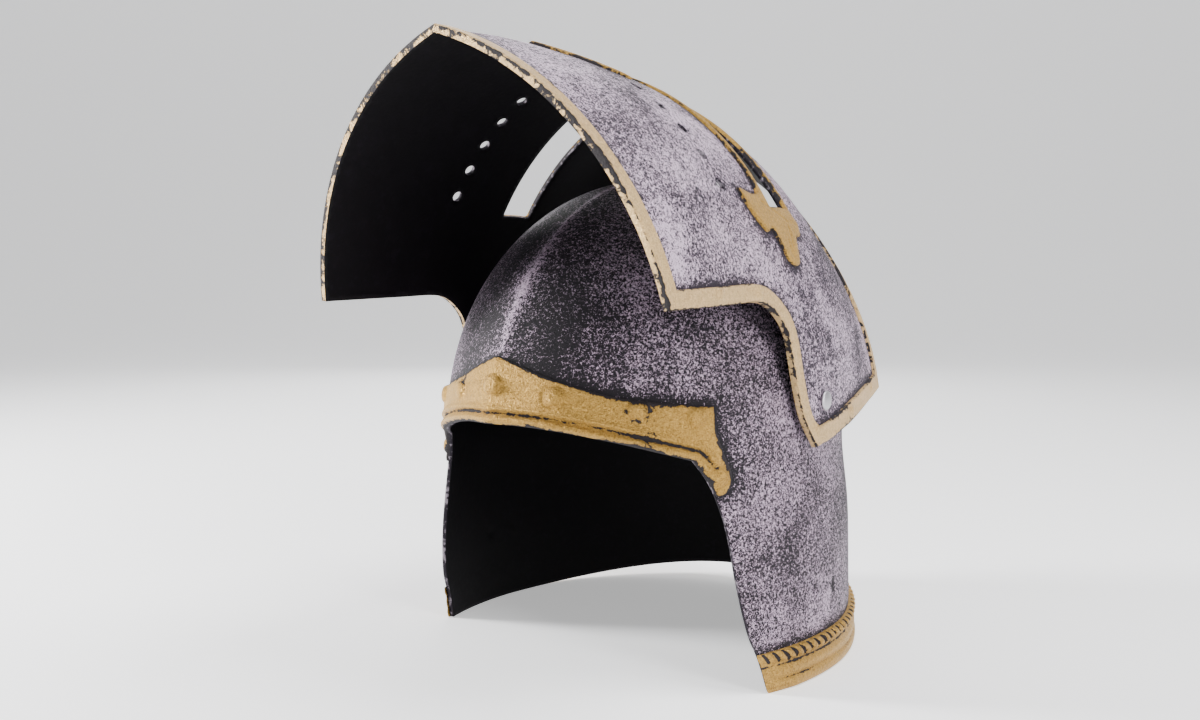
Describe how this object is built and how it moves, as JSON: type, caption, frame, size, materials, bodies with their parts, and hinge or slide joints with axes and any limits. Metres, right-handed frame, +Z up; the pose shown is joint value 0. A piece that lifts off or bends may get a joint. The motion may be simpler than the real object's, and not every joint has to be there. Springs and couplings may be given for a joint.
{
  "type": "costume helmet",
  "caption": "Open-faced costume helmet with a keeled visor that swings on side rivets, a raised cross on the visor, a brow band and a roped rim band.",
  "frame": {"origin": "under the middle of the bounding box, at the height of the rim's foot", "axes": "+Z up, the wearer faces -Y and the wearer's left is +X; visor raised"},
  "size_m": [0.2224, 0.2838, 0.3035],
  "materials": {
    "skull_paint": "black plastic dry-brushed with silver lavender",
    "visor_paint": "black plastic sprayed with pale lavender silver speckle",
    "trim_paint": "grainy gold paint worn dark in the recesses",
    "border_paint": "pale gold paint, worn at the edge",
    "rivet": "plain bright steel"
  },
  "bodies": {
    "skull": {"skull": "skull_paint", "brow_band": "trim_paint", "rim_band": "trim_paint", "pivot_rivet_left": "rivet", "pivot_rivet_right": "rivet"},
    "visor": {"visor": "visor_paint", "visor_border": "border_paint", "visor_cross": "trim_paint"}
  },
  "joints": [
    {"name": "visor_pivot", "type": "hinge", "parent": "skull", "child": "visor", "pos_m": [0, 0.0212, 0.133], "axis": [1, 0, 0], "range_deg": [0, 80]}
  ]
}
